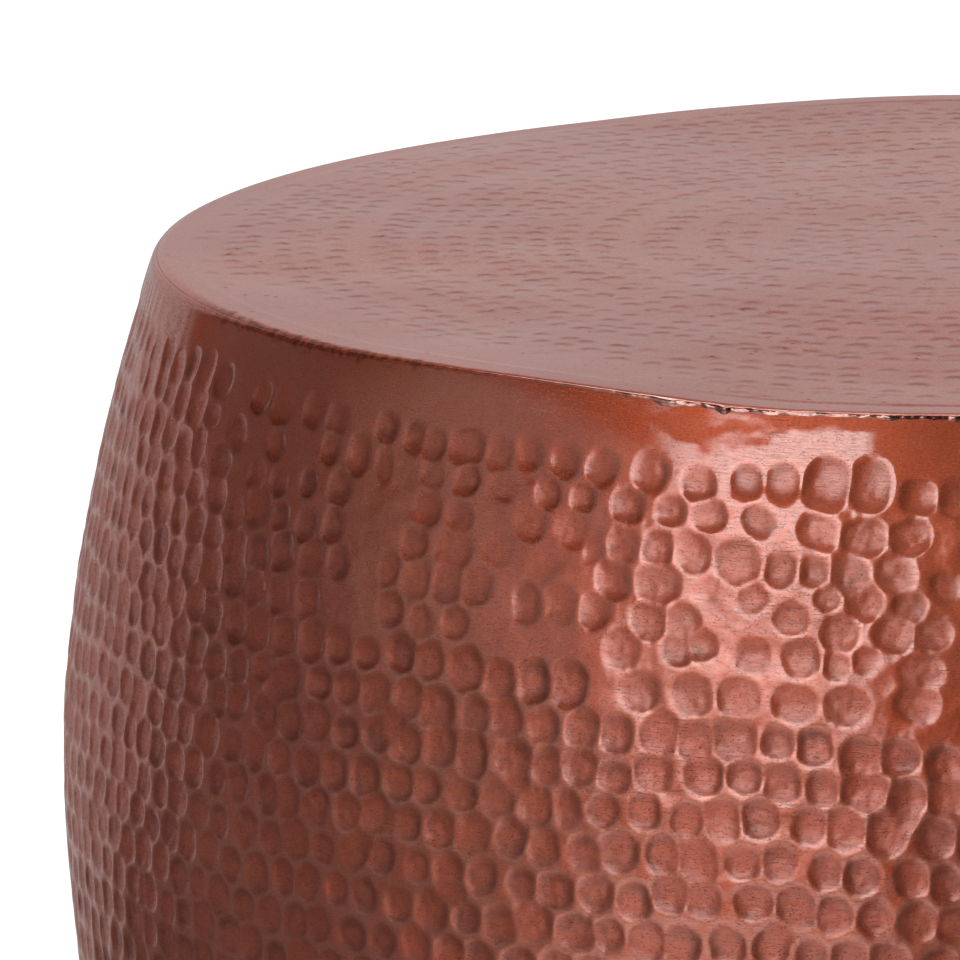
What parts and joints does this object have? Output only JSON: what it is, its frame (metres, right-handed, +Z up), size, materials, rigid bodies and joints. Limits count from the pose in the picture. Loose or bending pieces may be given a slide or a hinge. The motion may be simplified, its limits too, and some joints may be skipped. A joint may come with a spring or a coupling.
{
  "type": "drum table",
  "caption": "Low drum-shaped coffee table: bellied hand-hammered copper-finish metal wall, flat planished top welded on, open underside with brace frame and floor glides.",
  "frame": {"origin": "on the floor under the centre of the table, level with the undersides of the glides", "axes": "+Z up along the drum's axis; the wall's vertical weld seam faces +Y, the back; the long brace tube lies along X"},
  "size_m": [0.5999, 0.5999, 0.36],
  "materials": {
    "copper_wall": "hammered sheet, satin copper-tone metal finish under clear lacquer",
    "copper_top": "planished sheet, satin copper-tone metal finish under clear lacquer",
    "copper_weld": "dressed weld bead, copper-tone metal finish, semi-gloss",
    "frame_paint": "matt black powder coat on steel",
    "weld_bare": "bare weld metal, heat tinted",
    "zinc": "bright zinc plate",
    "felt": "pressed wool felt",
    "nylon": "moulded black nylon"
  },
  "bodies": {
    "root": {"top_sheet": "copper_top", "barrel_wall": "copper_wall", "rim_weld_bead": "copper_weld", "wall_seam_weld": "copper_weld", "shoulder_ring": "frame_paint", "shoulder_tack_welds": "weld_bare", "brace_tube_long": "frame_paint", "brace_tube_cross": "frame_paint", "brace_end_plugs": "nylon", "brace_screws": "zinc", "brace_washers": "zinc", "brace_centre_bolt": "zinc", "brace_centre_nut": "zinc", "felt_strips": "felt", "base_ring": "frame_paint", "base_tack_welds": "weld_bare", "floor_glides": "nylon", "glide_screws": "zinc", "glide_washers": "zinc", "glide_nuts": "zinc"}
  },
  "joints": []
}
